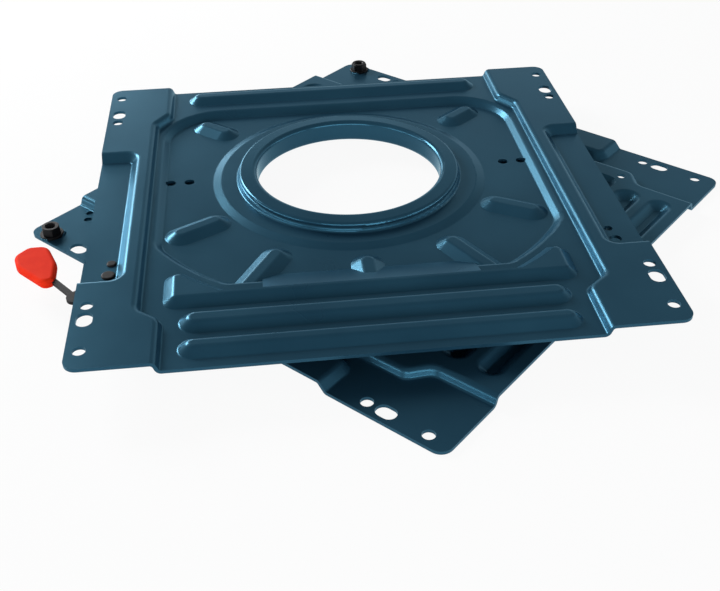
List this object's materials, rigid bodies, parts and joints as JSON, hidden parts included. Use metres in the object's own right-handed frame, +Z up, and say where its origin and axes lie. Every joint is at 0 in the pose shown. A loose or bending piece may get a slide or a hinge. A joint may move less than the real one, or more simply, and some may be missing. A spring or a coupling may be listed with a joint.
{
  "type": "swivel seat base",
  "caption": "Flat turntable for a seat: two ribbed square steel pressings turn about a large open hub on a ball ring, with a red-gripped lock lever at one side.",
  "frame": {"origin": "the centre of the hub's bore: on the swivel axis, half way up the straight part of its wall", "axes": "+Z up along the swivel axis, +X to the right and +Y to the back of the upper plate"},
  "size_m": [0.5539, 0.5533, 0.03],
  "materials": {
    "blue_black_paint": "satin blue-black powder coat",
    "acetal": "black acetal",
    "nylon": "natural nylon",
    "ball_steel": "polished bearing steel",
    "black_nut": "black oxide",
    "zinc_steel": "zinc plated",
    "red_dip": "soft dipped vinyl"
  },
  "bodies": {
    "base": {"lower_plate": "blue_black_paint", "hub_ring": "blue_black_paint", "slide_ring": "acetal", "keeper": "blue_black_paint", "weld_nut_left": "black_nut", "weld_nut_back": "black_nut"},
    "race": {"ball_cage": "nylon", "bearing_balls": "ball_steel"},
    "turntable": {"upper_plate": "blue_black_paint", "lever_pivot": "black_nut", "guide_rivet": "black_nut", "pivot_washer": "zinc_steel", "wave_washer": "zinc_steel"},
    "lever": {"lock_lever": "blue_black_paint", "lever_grip": "red_dip"}
  },
  "joints": [
    {"name": "swivel", "type": "hinge", "parent": "base", "child": "turntable", "pos_m": [0, 0, 0], "axis": [0, 0, 1], "continuous": true},
    {"name": "race_turn", "type": "hinge", "parent": "base", "child": "race", "pos_m": [0, 0, 0], "axis": [0, 0, 1], "continuous": true},
    {"name": "lock", "type": "hinge", "parent": "turntable", "child": "lever", "pos_m": [-0.1814, -0.1273, -0.00025], "axis": [0, 0, 1], "range_deg": [-10, 0]}
  ],
  "couplings": [
    {"joint": "race_turn", "follows": "swivel", "ratio": 0.5}
  ]
}
